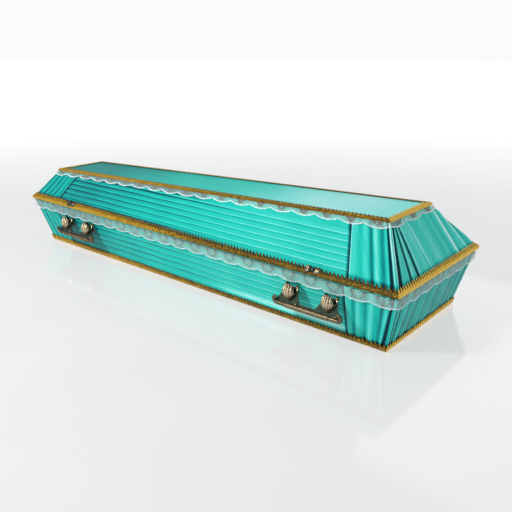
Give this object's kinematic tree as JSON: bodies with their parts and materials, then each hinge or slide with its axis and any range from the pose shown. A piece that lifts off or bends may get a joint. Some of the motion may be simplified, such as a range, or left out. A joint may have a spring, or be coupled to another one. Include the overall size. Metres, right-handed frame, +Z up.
{
  "type": "cloth-covered wooden coffin",
  "caption": "Tapered board coffin with a slanted lid that lifts off, covered in pleated turquoise satin, with gold braid, white lace and cast carrying handles.",
  "frame": {"origin": "middle of the underside, on the ground", "axes": "+X along the coffin to the head end, +Z up, +Y to the left as seen from the foot end"},
  "size_m": [1.9993, 0.686, 0.3959],
  "materials": {
    "pine": "planed softwood boards, bare inside",
    "satin": "glossy turquoise satin, in knife pleats and gathers",
    "gold_braid": "woven gold-coloured braid with a toothed edge",
    "white_lace": "white net lace with a scalloped lower edge",
    "antiqued_bronze": "cast, darkened in the hollows and rubbed bright on the high places"
  },
  "bodies": {
    "root": {"box_floor": "pine", "box_board_right": "pine", "box_board_left": "pine", "box_board_head": "pine", "box_board_foot": "pine", "lid_board_top": "pine", "lid_board_right": "pine", "lid_board_left": "pine", "lid_board_head": "pine", "lid_board_foot": "pine", "box_cloth_right": "satin", "box_cloth_left": "satin", "box_cloth_head": "satin", "box_cloth_foot": "satin", "lid_cloth_right": "satin", "lid_cloth_left": "satin", "lid_cloth_head": "satin", "lid_cloth_foot": "satin", "lid_cloth_top": "satin", "braid_base": "gold_braid", "braid_rim": "gold_braid", "braid_top": "gold_braid", "lace_box": "white_lace", "lace_lid": "white_lace", "handle_right_head": "antiqued_bronze", "handle_right_foot": "antiqued_bronze", "handle_left_head": "antiqued_bronze", "handle_left_foot": "antiqued_bronze", "lid_casting_right_head": "antiqued_bronze", "lid_casting_right_foot": "antiqued_bronze", "lid_casting_left_head": "antiqued_bronze", "lid_casting_left_foot": "antiqued_bronze"}
  },
  "joints": []
}
